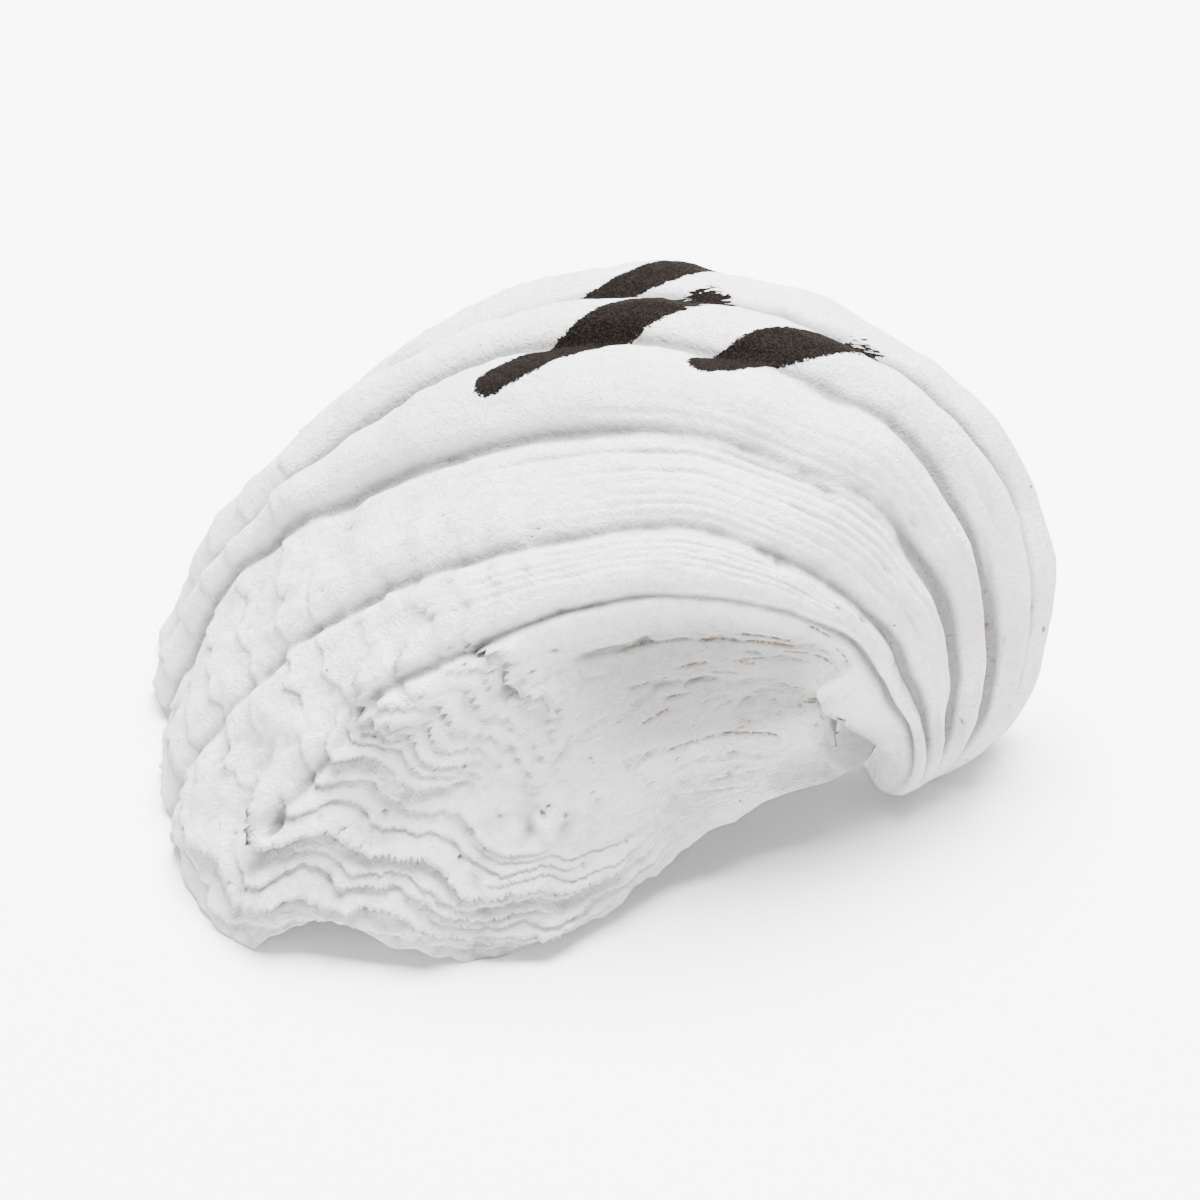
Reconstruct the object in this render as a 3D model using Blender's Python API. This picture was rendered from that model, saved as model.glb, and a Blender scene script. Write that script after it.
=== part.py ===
"""One valve of a small giant clam, lying dome up on its open side.

The shell is one solid that grew as one piece. Its outside is a growth coil: the closed margin turns about
the coiling axis and shrinks towards the apex, which leaves the dome, the rolled umbo and the beak. Lines of
constant place on the margin are the folds, and lines of constant turn are the growth ledges.
"""
import math

import bmesh
import bpy
import numpy as np
from mathutils import Vector, noise

# Driving dimensions, in millimetres and degrees
MM = 0.001
APEX = np.array((34.7, -21.5, 19.4))
AXIS_SWING = 17.0
AXIS_TILT = -8.7
BOX_MIDDLE = np.array((-0.48, 14.45, 0.0))

# How fast the shell shrinks along the coil, per radian of turn, at the front and at the back
GROWTH_FRONT = 0.612
GROWTH_BACK = 0.451
BACK_FROM = 0.31
BACK_TO = 0.67

# The young shell at the beak: fuller in front, slimmer at the back, and slid back and down to the table
BEAK_FROM = 135.0
BEAK_FULL_FRONT = 0.26
BEAK_FULL_BACK = 0.06
BEAK_FRONT_PLACES = (0.33, 0.55)
BEAK_SLIDE = np.array((0.5, 16.0, -8.0))
BEAK_SLIDE_FROM = 60.0
BEAK_SLIDE_TO = 190.0
BEAK_CAP_FROM = 195.0
COIL_END = 240.0

# The margin, from the notch beside the beak past the gape, round the front, the left, the back and the hinge
MARGIN = np.array((
    (37.9, -22.7, 16.0),
    (27.5, -25.4, 13.0),
    (17.3, -29.1, 10.0),
    (11.6, -31.3, 7.0),
    (1.4, -38.8, 3.0),
    (-15.9, -47.2, 0.0),
    (-39.0, -44.6, 3.0),
    (-51.0, -43.0, 0.0),
    (-58.5, -27.1, 0.0),
    (-60.8, -6.4, 0.0),
    (-62.6, 18.0, 0.0),
    (-49.6, 50.0, 0.0),
    (-28.0, 73.5, 0.0),
    (-7.0, 71.0, 6.0),
    (15.0, 38.3, 11.6),
    (38.8, 2.1, 15.8),
))
KNOT_POWER = 0.7
MARGIN_REACH = 85.0

# Valleys between the radial folds as places on the margin, and each fold's height in between
VALLEYS = (0.215, 0.322, 0.372, 0.455, 0.522, 0.592, 0.665, 0.735, 0.800)
FOLD_HEIGHTS = (2.0, 1.5, 2.6, 3.4, 3.2, 3.0, 2.4, 1.8)
FOLD_SHRINK = 0.55
FOLD_ROUND = 0.75
FRONT_FOLD_ENDS = 45.0

# On the umbo each fold leans over its neighbour as a ledge, between these turns of the coil
LEAN_FROM = 70.0
LEAN_TO = 135.0
LEAN = 2.6

# Growth ledges near the margin, highest in front and lowest along the gape
LEDGE_SPACING = 3.6
LEDGE_HEIGHT = 1.1
LEDGE_FADE = 15.0
LEDGE_STRENGTH = ((0.0, 0.35), (0.14, 0.45), (0.22, 1.0), (0.45, 1.0), (0.60, 0.7), (0.80, 0.5), (1.0, 0.35))
LEDGE_WAVES = ((1.5, 0.0475, 0.3), (0.8, 0.0265, 1.1))
MARGIN_WAVE = 1.3

# Uneven growth, as soft lumps
LUMP_SIZE = 15.0
LUMP_HEIGHT = 0.7

# The wall, measured towards the middle of the hollow, and how deep the hollow runs up the coil
WALL_AT_MARGIN = 2.6
WALL_INSIDE = 7.0
WALL_GROWS = 25.0
HINGE_WALL = 3.0
HOLLOW_MIDDLE = np.array((-12.0, 14.0, 2.0))
HOLLOW_ROUND_FROM = 70.0
HOLLOW_END = 128.0

# Rows of the mesh: turns of the coil with close rows at the margin, and places with close columns in front
EDGE_ROWS = 13
EDGE_TURN = 15.0
COIL_ROWS = 23
HOLLOW_ROWS = 14
FINE_COLUMNS = 56
FINE_FROM = 0.12
FINE_TO = 0.62
COARSE_COLUMNS = 36

SHELL_WHITE = (0.86, 0.85, 0.83, 1.0)


def smoothstep(low, high, value):
    """Soft step from 0 at low to 1 at high."""
    t = np.clip((value - low) / (high - low), 0.0, 1.0)
    return t * t * (3.0 - 2.0 * t)


def closed_spline(points, power):
    """Smooth closed curve through the points, as a function of the place 0 to 1 along it."""
    count = len(points)
    closed = np.vstack((points, points[:1]))
    knots = np.r_[0.0, np.cumsum(np.linalg.norm(np.diff(closed, axis=0), axis=1) ** power)]
    knots /= knots[-1]
    width = np.diff(knots)
    slope = np.diff(closed, axis=0) / width[:, None]
    system = np.zeros((count, count))
    target = np.zeros((count, 3))
    for i in range(count):
        system[i, i - 1] += width[i - 1]
        system[i, i] += 2.0 * (width[i - 1] + width[i])
        system[i, (i + 1) % count] += width[i]
        target[i] = 6.0 * (slope[i] - slope[i - 1])
    bend = np.linalg.solve(system, target)
    bend = np.vstack((bend, bend[:1]))

    def point_at(place):
        place = np.mod(place, 1.0)
        i = np.clip(np.searchsorted(knots, place, side="right") - 1, 0, count - 1)
        w = width[i][..., None]
        b = ((place - knots[i]) / width[i])[..., None]
        a = 1.0 - b
        return (a * closed[i] + b * closed[i + 1]
                + ((a ** 3 - a) * bend[i] + (b ** 3 - b) * bend[i + 1]) * w * w / 6.0)

    return point_at


def coiling_axis():
    """Unit vector along the line that the shell coils about."""
    swing, tilt = math.radians(AXIS_SWING), math.radians(AXIS_TILT)
    return np.array((math.sin(swing) * math.cos(tilt), math.cos(swing) * math.cos(tilt), math.sin(tilt)))


margin_at = closed_spline(MARGIN, KNOT_POWER)
AXIS = coiling_axis()


def size_at(place, turn):
    """Size of the shell's section at a turn of the coil, as a part of its size at the margin."""
    rate = GROWTH_FRONT + (GROWTH_BACK - GROWTH_FRONT) * smoothstep(BACK_FROM, BACK_TO, place)
    early = np.radians(np.maximum(turn - BEAK_FROM, 0.0))
    fullness = BEAK_FULL_FRONT + (BEAK_FULL_BACK - BEAK_FULL_FRONT) * smoothstep(*BEAK_FRONT_PLACES, place)
    return np.exp(-rate * np.radians(turn) + fullness * early ** 2)


def beak_slide(turn):
    """How far the coil has slid back and down, from the dome to the beak."""
    return smoothstep(BEAK_SLIDE_FROM, BEAK_SLIDE_TO, turn)[..., None] * BEAK_SLIDE


def turned(offset, turn):
    """The offset from the apex, turned about the coiling axis."""
    angle = np.radians(turn)[..., None]
    along = (offset @ AXIS)[..., None] * AXIS
    return (offset - along) * np.cos(angle) + np.cross(AXIS, offset) * np.sin(angle) + along


def coil_point(place, turn):
    """Point of the smooth shell, without folds or ledges."""
    return APEX + size_at(place, turn)[..., None] * turned(margin_at(place) - APEX, turn) + beak_slide(turn)


def section_middle(turn):
    """Middle of the shell's section at a turn of the coil."""
    return APEX + size_at(BACK_FROM, turn)[..., None] * turned(HOLLOW_MIDDLE - APEX, turn) + beak_slide(turn)


def outward(place, turn):
    """Unit normal of the smooth shell, out of the shell."""
    along = coil_point(place + 0.002, turn) - coil_point(place - 0.002, turn)
    up = coil_point(place, turn + 0.5) - coil_point(place, turn - 0.5)
    normal = np.cross(up, along)
    return normal / np.linalg.norm(normal, axis=-1, keepdims=True)


def fold_height(place, turn):
    """Height of the radial folds over the smooth shell."""
    lean = 1.0 + (LEAN - 1.0) * smoothstep(LEAN_FROM, LEAN_TO, turn)
    height = np.zeros(np.broadcast(place, turn).shape)
    for fold, (low, high) in enumerate(zip(VALLEYS[:-1], VALLEYS[1:])):
        across = np.clip((place - low) / (high - low), 0.0, 1.0) ** lean
        arch = np.sin(np.pi * across) ** FOLD_ROUND * FOLD_HEIGHTS[fold]
        if fold == 0:
            arch = arch * (1.0 - smoothstep(0.0, FRONT_FOLD_ENDS, turn))
        height = height + arch
    return height * size_at(place, turn) ** FOLD_SHRINK


def ledge_wave(place):
    """Zigzag of the growth ledges along the margin, in millimetres."""
    return sum(height * np.sin(2.0 * np.pi * (place / pitch + start)) for height, pitch, start in LEDGE_WAVES)


def ledge_height(place, turn):
    """Height of the overlapping growth ledges, each a slow rise and a sudden drop towards the margin."""
    above = MARGIN_REACH * np.radians(turn)
    step = (above + ledge_wave(place)) / LEDGE_SPACING
    rise = 1.0 - (step - np.floor(step))
    strength = np.interp(place, *zip(*LEDGE_STRENGTH))
    return LEDGE_HEIGHT * strength * rise * np.exp(-np.maximum(above, 0.0) / LEDGE_FADE)


def lump_height(points):
    """Soft uneven growth at each point."""
    flat = points.reshape(-1, 3)
    height = [noise.noise(Vector(point / LUMP_SIZE)) for point in flat]
    return LUMP_HEIGHT * np.array(height).reshape(points.shape[:-1])


def margin_turn(place):
    """Where the margin ends along the coil: its ledge waves a little up and down."""
    return np.degrees(MARGIN_WAVE * ledge_wave(place) / LEDGE_WAVES[0][0] / MARGIN_REACH)


def cap_width(turn, start, end):
    """Round end of the coil or the hollow: 1 until start, then down to 0 at end."""
    t = np.clip((turn - start) / (end - start), 0.0, 1.0)
    return np.sqrt(1.0 - t * t)


def outer_surface(place, turn):
    """Points of the outside with its folds, ledges and lumps, the beak closed by a round end."""
    turn = turn + margin_turn(place) * np.exp(-turn / EDGE_TURN)
    points = coil_point(place, turn)
    relief = fold_height(place, turn) + ledge_height(place, turn) + lump_height(points)
    cap = cap_width(turn, BEAK_CAP_FROM, COIL_END)
    points = points + outward(place, turn) * (relief * cap)[..., None]
    middle = section_middle(turn)
    return middle + (points - middle) * cap[..., None]


def inner_surface(place, turn):
    """Points of the hollow's smooth wall, closed at the top by a round end."""
    bent = turn + margin_turn(place) * np.exp(-turn / EDGE_TURN)
    points = coil_point(place, bent)
    middle = section_middle(bent)
    reach = points - middle
    distance = np.linalg.norm(reach, axis=-1)
    hinge = smoothstep(0.72, 0.84, place) * (1.0 - smoothstep(0.90, 0.99, place))
    wall = WALL_AT_MARGIN + (WALL_INSIDE - WALL_AT_MARGIN + HINGE_WALL * hinge) * smoothstep(0.0, WALL_GROWS, bent)
    share = np.maximum(1.0 - wall / distance, 0.1) * cap_width(bent, HOLLOW_ROUND_FROM, HOLLOW_END)
    return middle + reach * share[..., None]


def columns():
    """Places round the margin, closer together where the photo's folds and ledges are."""
    fine = np.linspace(FINE_FROM, FINE_TO, FINE_COLUMNS, endpoint=False)
    coarse = np.linspace(FINE_TO, FINE_FROM + 1.0, COARSE_COLUMNS, endpoint=False)
    return np.mod(np.concatenate((fine, coarse)), 1.0)


def rows(end, edge_count, rest_count):
    """Turns of the coil from the margin up, close together in the ledges."""
    edge = np.linspace(0.0, EDGE_TURN, edge_count, endpoint=False)
    return np.concatenate((edge, np.linspace(EDGE_TURN, end, rest_count, endpoint=False)))


def add_grid(mesh, grid, flip):
    """Adds the closed rings of a grid, and the faces between them, and gives the rings."""
    rings = [[mesh.verts.new(Vector(point)) for point in ring] for ring in np.swapaxes(grid, 0, 1)]
    for lower, upper in zip(rings[:-1], rings[1:]):
        join_rings(mesh, lower, upper, flip)
    return rings


def join_rings(mesh, lower, upper, flip):
    """Faces between two rings of as many points."""
    for i, corner in enumerate(lower):
        face = (corner, lower[i - 1], upper[i - 1], upper[i])
        mesh.faces.new(face[::-1] if flip else face)


def close_ring(mesh, ring, tip, flip):
    """Fan of triangles from a ring to its tip."""
    end = mesh.verts.new(Vector(tip))
    for i, corner in enumerate(ring):
        face = (corner, ring[i - 1], end)
        mesh.faces.new(face[::-1] if flip else face)


def to_part(points):
    """From the coil's millimetres to the part's frame in metres, worn flat where it rests on the table."""
    placed = points - BOX_MIDDLE
    placed[..., 2] = np.maximum(placed[..., 2], 0.0)
    return placed * MM


def shell_mesh():
    """The whole valve as one closed body: outside, hollow, margin between them and both round ends."""
    place = columns()[:, None]
    outside = to_part(outer_surface(place, rows(COIL_END, EDGE_ROWS, COIL_ROWS)[None, :]))
    hollow = to_part(inner_surface(place, rows(HOLLOW_END, 3, HOLLOW_ROWS)[None, :]))
    mesh = bmesh.new()
    outer_rings = add_grid(mesh, outside, False)
    inner_rings = add_grid(mesh, hollow, True)
    join_rings(mesh, inner_rings[0], outer_rings[0], False)
    close_ring(mesh, outer_rings[-1], to_part(section_middle(np.array(COIL_END))), False)
    close_ring(mesh, inner_rings[-1], to_part(section_middle(np.array(HOLLOW_END))), True)
    bmesh.ops.triangulate(mesh, faces=mesh.faces)
    data = bpy.data.meshes.new("shell")
    mesh.to_mesh(data)
    mesh.free()
    return data


def shell_material():
    """Matt white paint on the shell."""
    material = bpy.data.materials.new("shell_white")
    material.use_nodes = True
    surface = material.node_tree.nodes["Principled BSDF"]
    surface.inputs["Base Color"].default_value = SHELL_WHITE
    surface.inputs["Roughness"].default_value = 0.85
    surface.inputs["Metallic"].default_value = 0.0
    return material


def main():
    for old in list(bpy.data.objects):
        bpy.data.objects.remove(old)
    collection = bpy.data.collections.new("clam_shell")
    bpy.context.scene.collection.children.link(collection)
    data = shell_mesh()
    data.materials.append(shell_material())
    shell = bpy.data.objects.new("shell", data)
    collection.objects.link(shell)


main()
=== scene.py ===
"""One valve of a small giant clam, painted matt white, dome up on a pale floor.

The shell is rebuilt finely on the growth coil that the part's own source uses: the closed margin turns about
the coiling axis and shrinks towards the apex. place runs 0 to 1 along the margin, turn runs up the coil.
"""
import math
import random

import bpy
import numpy as np
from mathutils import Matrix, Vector, noise


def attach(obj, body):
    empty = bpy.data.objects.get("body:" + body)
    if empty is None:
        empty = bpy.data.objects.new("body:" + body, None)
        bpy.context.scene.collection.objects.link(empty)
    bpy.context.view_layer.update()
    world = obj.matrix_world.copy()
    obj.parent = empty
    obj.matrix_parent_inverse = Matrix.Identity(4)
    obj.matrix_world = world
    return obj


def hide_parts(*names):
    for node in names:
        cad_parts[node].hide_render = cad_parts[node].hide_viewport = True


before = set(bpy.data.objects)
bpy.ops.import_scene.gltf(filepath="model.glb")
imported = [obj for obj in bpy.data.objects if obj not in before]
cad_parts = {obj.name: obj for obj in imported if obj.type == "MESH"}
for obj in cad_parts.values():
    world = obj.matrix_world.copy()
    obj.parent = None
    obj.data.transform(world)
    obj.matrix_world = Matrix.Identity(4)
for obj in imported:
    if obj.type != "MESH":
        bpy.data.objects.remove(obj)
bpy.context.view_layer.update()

MM = 0.001

# Growth coil, in millimetres and degrees, as in the part's source
APEX = np.array((34.7, -21.5, 19.4))
AXIS_SWING = 17.0
AXIS_TILT = -8.7
BOX_MIDDLE = np.array((-0.48, 14.45, 0.0))
GROWTH_FRONT = 0.612
GROWTH_BACK = 0.451
BACK_FROM = 0.31
BACK_TO = 0.67
BEAK_FROM = 135.0
BEAK_FULL_FRONT = 0.26
BEAK_FULL_BACK = 0.06
BEAK_FRONT_PLACES = (0.33, 0.55)
BEAK_SLIDE = np.array((0.5, 16.0, -8.0))
BEAK_SLIDE_FROM = 60.0
BEAK_SLIDE_TO = 190.0
BEAK_CAP_FROM = 195.0
COIL_END = 240.0
MARGIN = np.array((
    (37.9, -22.7, 16.0),
    (27.5, -25.4, 13.0),
    (17.3, -29.1, 10.0),
    (11.6, -31.3, 7.0),
    (1.4, -38.8, 3.0),
    (-15.9, -47.2, 0.0),
    (-39.0, -44.6, 3.0),
    (-51.0, -43.0, 0.0),
    (-58.5, -27.1, 0.0),
    (-60.8, -6.4, 0.0),
    (-62.6, 18.0, 0.0),
    (-49.6, 50.0, 0.0),
    (-28.0, 73.5, 0.0),
    (-7.0, 71.0, 6.0),
    (15.0, 38.3, 11.6),
    (38.8, 2.1, 15.8),
))
KNOT_POWER = 0.7
PLACE_STEP = 0.002
TURN_STEP = 0.5
MARGIN_REACH = 85.0
# Valleys between the folds: the place of each along the margin, at these turns up the coil
VALLEY_TURNS = (0, 15, 30, 45, 60, 80, 95, 110, 130, 150, 170, 195)
VALLEYS = (
    (.215, .215, .215, .215, .215, .215, .215, .215, .215, .215, .215, .215),
    (.322, .328, .330, .320, .316, .314, .312, .305, .300, .300, .300, .300),
    (.405, .398, .386, .381, .379, .377, .371, .360, .347, .345, .353, .362),
    (.470, .476, .467, .462, .460, .460, .462, .461, .442, .426, .417, .409),
    (.500, .502, .517, .535, .541, .540, .537, .534, .514, .492, .486, .470),
    (.560, .562, .572, .585, .592, .595, .598, .602, .608, .568, .558, .550),
    (.640, .645, .650, .660, .665, .665, .668, .672, .675, .650, .640, .630),
    (.735, .735, .735, .735, .735, .735, .735, .735, .735, .735, .735, .735),
    (.800, .800, .800, .800, .800, .800, .800, .800, .800, .800, .800, .800),
)
# Depth of the line cut along each valley, its half width and the strength of the relief, by turn
VALLEY_CUT = (
    (0, .2), (15, .8), (30, 1.5), (60, 1.3), (85, .9), (110, 1.4), (125, 2.4), (180, 2.4), (215, .6),
)
VALLEY_CUT_WIDTH = ((0, .0050), (30, .0062), (60, .0070), (100, .0090), (130, .0130), (180, .0150))
RELIEF_GAIN = ((0, 1.0), (92, 1.0), (115, 1.3), (150, 1.6), (190, 1.5), (220, 1.0))
RELIEF_SUNK = 0.87
RELIEF_SUNK_PLACES = (.22, .32, .60, .75)
# The lines at the back and the left show only at some turns, and the crest has a share of them
BACK_CUT_FOLD = 2
BACK_CUT_TURNS = (92.0, 122.0)
LEFT_CUT_TURNS = (55.0, 90.0)
LEFT_CUT_FOLD = 3
CREST_CUT = 0.25
VALLEY_WANDER = 0.005
VALLEY_WANDER_LENGTH = 17.0
# Heights of the folds between the valleys, and how round they are and how they lean, by turn
FOLD_HEIGHTS = (2.0, 1.3, 2.0, 2.9, 3.0, 3.0, 2.4, 1.8)
FOLD_ROUND = ((0, 1.25), (80, 1.15), (110, .95), (135, 1.25), (190, 1.3))
FOLD_LEAN = ((0, .72), (75, .80), (100, 1.1), (125, 1.9), (150, 2.2))
FOLD_SHRINK = 0.55
FRONT_FOLD_ENDS = 45.0
# The foot of the left side flares out
FLARE = 2.2
FLARE_PLACES = (.34, .39, .53, .63)
FLARE_TURNS = (8.0, 55.0)
# Waves of the margin: height, pitch and start
LEDGE_WAVES = ((1.5, 0.0475, 0.3), (0.8, 0.0265, 1.1))
MARGIN_WAVE = 1.3
# Broad lumps
LUMP_SIZE = 13.0
LUMP_HEIGHT = 1.3
# Unevenness of the surface, from broad to small: size, seed, height, and how far it bends the ledges' lips
ROUGHNESS = (
    (7.0, 3.0, 0.50, 1.6),
    (3.4, 5.0, 0.28, 1.0),
    (1.5, 7.0, 0.16, 0.35),
)
ROUGH_FRONT = 1.0
ROUGH_FRONT_PLACES = (.15, .22, .40, .55)
ROUGH_FRONT_TURNS = (20.0, 55.0)
ROUGH_BEAK = -0.4
ROUGH_BEAK_TURNS = (100.0, 140.0)
# Wall and hollow
WALL_AT_MARGIN = 2.6
WALL_INSIDE = 7.0
WALL_GROWS = 25.0
HINGE_WALL = 3.0
HINGE_PLACES = (0.72, 0.84, 0.90, 0.99)
LEAST_SHARE = 0.1
HOLLOW_MIDDLE = np.array((-12.0, 14.0, 2.0))
HOLLOW_ROUND_FROM = 70.0
HOLLOW_END = 128.0
EDGE_TURN = 15.0

# Growth ledges that cross the folds: turn, height, and the places between which each one shows
LEDGES = (
    # across the front
    (1.9, .50, .16, .40),
    (4.5, 1.35, .17, .43),
    (7.4, .80, .19, .33),
    (9.2, .55, .19, .31),
    (12.0, 1.60, .15, .345),
    (15.2, .55, .18, .33),
    (18.4, .60, .20, .34),
    (22.2, 1.20, .255, .335),
    (24.0, .50, .25, .34),
    (25.7, .60, .25, .34),
    (27.6, 1.50, .30, .345),
    (28.0, .50, .24, .30),
    (31.0, .60, .22, .33),
    (33.6, .90, .31, .345),
    (35.0, .45, .21, .30),
    (38.5, .35, .20, .33),
    (41.0, 1.40, .245, .290),
    (42.8, 1.10, .295, .325),
    (11.8, 1.20, .315, .345),
    # towards the gape
    (2.8, .60, .12, .22),
    (6.0, .65, .12, .24),
    (9.6, .55, .13, .21),
    (13.5, .50, .14, .22),
    (17.0, .40, .15, .23),
    # the first fold of the left side
    (24.5, .30, .33, .42),
    (30.0, .35, .34, .45),
    (33.0, .25, .33, .41),
    (37.5, .35, .34, .44),
    (42.0, .30, .33, .42),
    (47.0, .30, .33, .41),
    (52.0, .25, .33, .40),
    # the left side and the back
    (3.2, .60, .40, .97),
    (6.9, .50, .38, .95),
    (10.8, .60, .36, .97),
    (15.0, .45, .37, .95),
    (20.5, .50, .36, .97),
    (27.0, .35, .50, .95),
    (35.0, .40, .55, .97),
    (46.0, .35, .60, .97),
    # the front plate
    (3.0, .22, .03, .17),
    (5.6, .30, .03, .18),
    (8.0, .22, .03, .17),
    (11.0, .32, .03, .18),
    (14.0, .22, .04, .18),
    (18.0, .30, .04, .17),
    (23.0, .25, .05, .17),
    (30.0, .25, .05, .16),
)
# How softly a ledge begins and ends, and how much stronger it is at the front than at the back
LEDGE_SOFT = 0.012
LEDGE_FRONT = 1.9
LEDGE_BACK = 1.0
LEDGE_FRONT_FROM = 0.12
LEDGE_FRONT_FADE = (0.36, 0.44)
# How far round a point its surroundings reach, and how deep below them counts as fully sunken, for the
# painted shade in the hollows
SUNKEN_REACH = 2.6
SUNKEN_DEPTH = 0.8
MARGIN_LENGTH = 330.0
# Length of a ledge's back slope, how its lip hangs over its foot, and the painted shade at the foot under
# the lip
LEDGE_LENGTH = 3.4
LEDGE_OVERHANG = 0.8
LIP_EDGE = (-0.15, 0.30)
HANG_LENGTH = 0.9
FOOT_LENGTH = 0.7
FOOT_SHADE = 0.8
HANG_TURNS = (1.0, 3.0)
# Zigzag of the lips
ZIGZAG = 1.9
ZIGZAG_PITCH = 0.0495
ZIGZAG_START = 0.2975
ZIGZAG_BAND = (.16, .20, .33, .40)
ZIGZAG_TURNS = (0.0, 8.0)

# Grooves between the fine ribs: fold, share of the way across it, turns from and to, depth
RIBS = (
    (1, .46, 40, 122, .34),
    (1, .56, 44, 126, .45),
    (1, .66, 42, 126, .50),
    (1, .75, 46, 122, .40),
    (1, .85, 60, 120, .34),
    (2, .12, 48, 100, .25),
    (2, .22, 50, 92, .30),
    (2, .31, 58, 128, .22),
    (2, .45, 64, 126, .22),
    (2, .57, 52, 116, .42),
    (2, .67, 84, 132, .36),
    (2, .78, 46, 124, .52),
    (2, .89, 72, 128, .46),
    (3, .13, 56, 112, .28),
    (3, .24, 70, 120, .20),
    (3, .40, 84, 130, .20),
    (3, .56, 98, 172, .40),
    (3, .78, 104, 198, .60),
    (3, .20, 126, 190, .35),
    (2, .40, 118, 190, .45),
    (2, .72, 122, 195, .50),
    (1, .50, 126, 190, .35),
    (4, .22, 104, 190, .34),
    (4, .42, 112, 170, .40),
    (4, .80, 112, 195, .60),
    (5, .25, 116, 190, .40),
    (5, .50, 112, 180, .45),
    (5, .80, 112, 190, .50),
)
RIB_WIDTH = ((90, .0021), (130, .0042), (170, .0058))
RIB_FADE = 8.0
RIB_WANDER = 0.0012
RIB_WANDER_LENGTH = 14.0
RIB_SEEN = (0.75, 0.6)
RIB_SEEN_LENGTH = 9.0

# Grooves and cracks on the front: place and turn of both ends, half width, depth, and how dark the stain is
CRACKS = (
    ((.268, 50), (.262, 63), .9, .55, .0),
    ((.262, 58), (.259, 72), .35, .45, .6),
    ((.257, 74), (.259, 98), .28, .40, 1.0),
    ((.266, 83), (.266, 98), .22, .35, .9),
    ((.236, 84), (.238, 98), .22, .35, .9),
    ((.235, 100), (.236, 106), .20, .30, .8),
    ((.228, 60), (.210, 76), .55, .50, .3),
    ((.215, 50), (.224, 62), .80, .60, .0),
    ((.182, 41), (.160, 46), .80, .60, .0),
    ((.155, 43), (.110, 47), .32, .45, .9),
    ((.110, 47), (.066, 52), .26, .40, 1.0),
    ((.295, 103), (.291, 110), .22, .30, .8),
    ((.275, 112), (.270, 122), .22, .30, .8),
    ((.255, 112), (.250, 120), .20, .30, .7),
    ((.382, 51), (.387, 53), .25, .35, .8),
    ((.358, 45.5), (.360, 47), .25, .35, .8),
    ((.228, 41), (.222, 36), .22, .35, .8),
    ((.210, 40), (.200, 38), .28, .40, .7),
    ((.150, 30), (.110, 34), .30, .35, .3),
    ((.090, 22), (.060, 24), .24, .30, .5),
    ((.120, 20), (.075, 16), .24, .25, .2),
    ((.345, 5.6), (.330, 5.2), .30, .40, .6),
    ((.228, 10.3), (.205, 10.6), .35, .40, .5),
    ((.222, 4.3), (.208, 4.4), .30, .40, .5),
)
CRACK_STEPS = 4

# Scattered fine cracks and grooves: how many, the places and turns between which they start, how far they
# run, their half width and depth, and how dark the stain may be
SEED = 11
FINE_CRACKS = (
    52, (.06, .27), (36.0, 118.0),
    (-.006, .004), (2.5, 9.0),
    (.18, .34), (.2, .4), (.0, .5, .8, 1.0),
)
GROOVES = (
    16, (.12, .29), (34.0, 100.0),
    (-.012, .006), (6.0, 16.0),
    (.5, 1.0), (.25, .55), (.0,),
)

# Lumps, pockets and pinholes: place and turn, radius, height, and how dark they are stained
SPOTS = (
    ((.204, 23.2), 1.7, 2.2, .0),
    ((.210, 21.6), 1.2, -1.0, .2),
    ((.2085, 25.2), .55, -.9, 1.0),
    ((.2075, 26.6), .40, -.9, 1.0),
    ((.3165, 30.0), 2.6, 1.3, .0),
    ((.316, 14.5), 3.0, .9, .0),
    ((.334, 26.8), 1.3, -2.4, .35),
    ((.326, 11.8), 1.5, -2.4, .35),
    ((.316, 42.2), 1.3, -2.2, .30),
    ((.330, 33.0), 1.0, -1.5, .35),
    ((.275, 39.6), 1.9, -2.2, .15),
    ((.368, 92.0), 1.2, -1.0, .25),
    ((.372, 88.0), .9, -.7, .20),
    ((.450, 95.0), 1.5, -.9, .10),
    ((.455, 90.0), 1.2, -.7, .10),
    ((.275, 15.6), .42, -.6, 1.0),
    ((.290, 13.6), .40, -.6, 1.0),
    ((.235, 14.2), .36, -.5, 1.0),
    ((.250, 11.5), .30, -.4, 1.0),
    ((.275, 11.2), .36, -.5, .9),
    ((.345, 8.0), .34, -.5, .9),
    ((.345, 3.0), .30, -.4, .9),
    ((.446, 28.5), .60, -.7, .9),
    ((.196, 3.6), .80, -.5, .4),
    ((.320, 54.5), .55, -.6, .7),
    ((.264, 62.5), .70, -.7, .5),
    ((.283, 48.5), .40, -.5, .8),
    ((.285, 46.0), .30, -.4, .8),
    ((.398, 51.0), .28, -.4, .9),
    ((.408, 66.0), .28, -.4, .7),
    ((.430, 80.0), .34, -.4, .6),
    ((.382, 79.0), .30, -.4, .8),
    ((.425, 133.0), .50, -.5, .7),
    ((.429, 147.0), .60, -.6, .9),
    ((.440, 145.0), .40, -.4, .8),
    ((.500, 149.0), .60, -.6, .9),
    ((.345, 118.0), .30, -.4, .9),
    ((.352, 141.0), .50, -.6, .8),
    ((.405, 150.0), .30, -.4, .9),
    ((.590, 152.0), .45, -.5, .9),
    ((.593, 146.0), .40, -.5, .9),
    ((.440, 182.0), .55, -.6, .9),
    ((.520, 112.0), .60, -.5, .4),
    ((.540, 100.0), .70, -.5, .3),
)

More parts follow.
